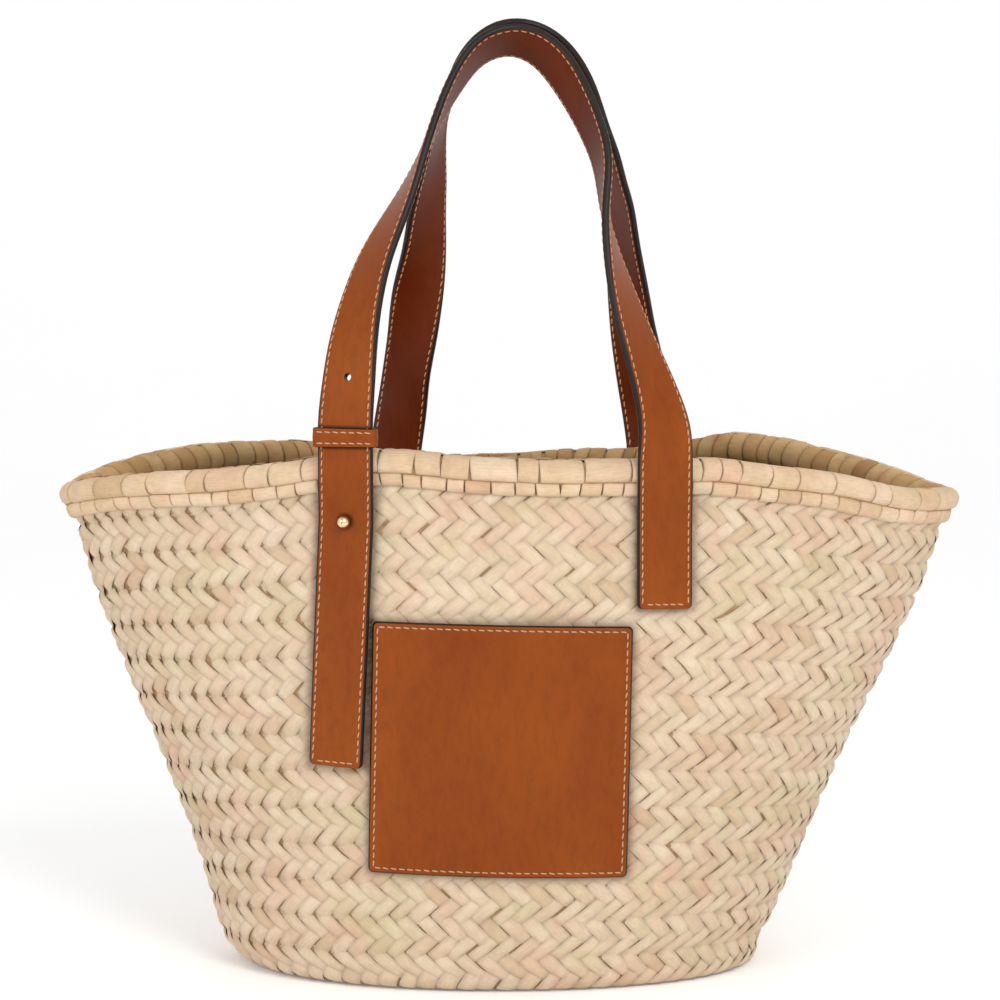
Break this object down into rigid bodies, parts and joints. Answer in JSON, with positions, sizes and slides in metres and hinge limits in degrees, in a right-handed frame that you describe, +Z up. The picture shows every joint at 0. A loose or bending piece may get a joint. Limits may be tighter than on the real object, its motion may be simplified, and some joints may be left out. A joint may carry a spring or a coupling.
{
  "type": "straw basket bag",
  "caption": "Woven straw basket bag with a wrapped, wavy rim, long twisted leather shoulder straps, a keeper and stud on the front strap, and a plain square leather patch.",
  "frame": {"origin": "on the ground under the middle of the whole bag", "axes": "+Z up, +X across the mouth to the wearer's right as the patch is faced, +Y from the patch's face to the back"},
  "size_m": [0.4806, 0.1942, 0.5011],
  "materials": {
    "straw": "dry, matt palm straw",
    "leather": "smooth tan leather with dark painted edges and cream stitching",
    "brass": "polished pale gold"
  },
  "bodies": {
    "root": {"basket_body": "straw", "rim_binding": "straw", "front_handle": "leather", "back_handle": "leather", "strap_keeper": "leather", "strap_stud": "brass", "leather_patch": "leather"}
  },
  "joints": []
}
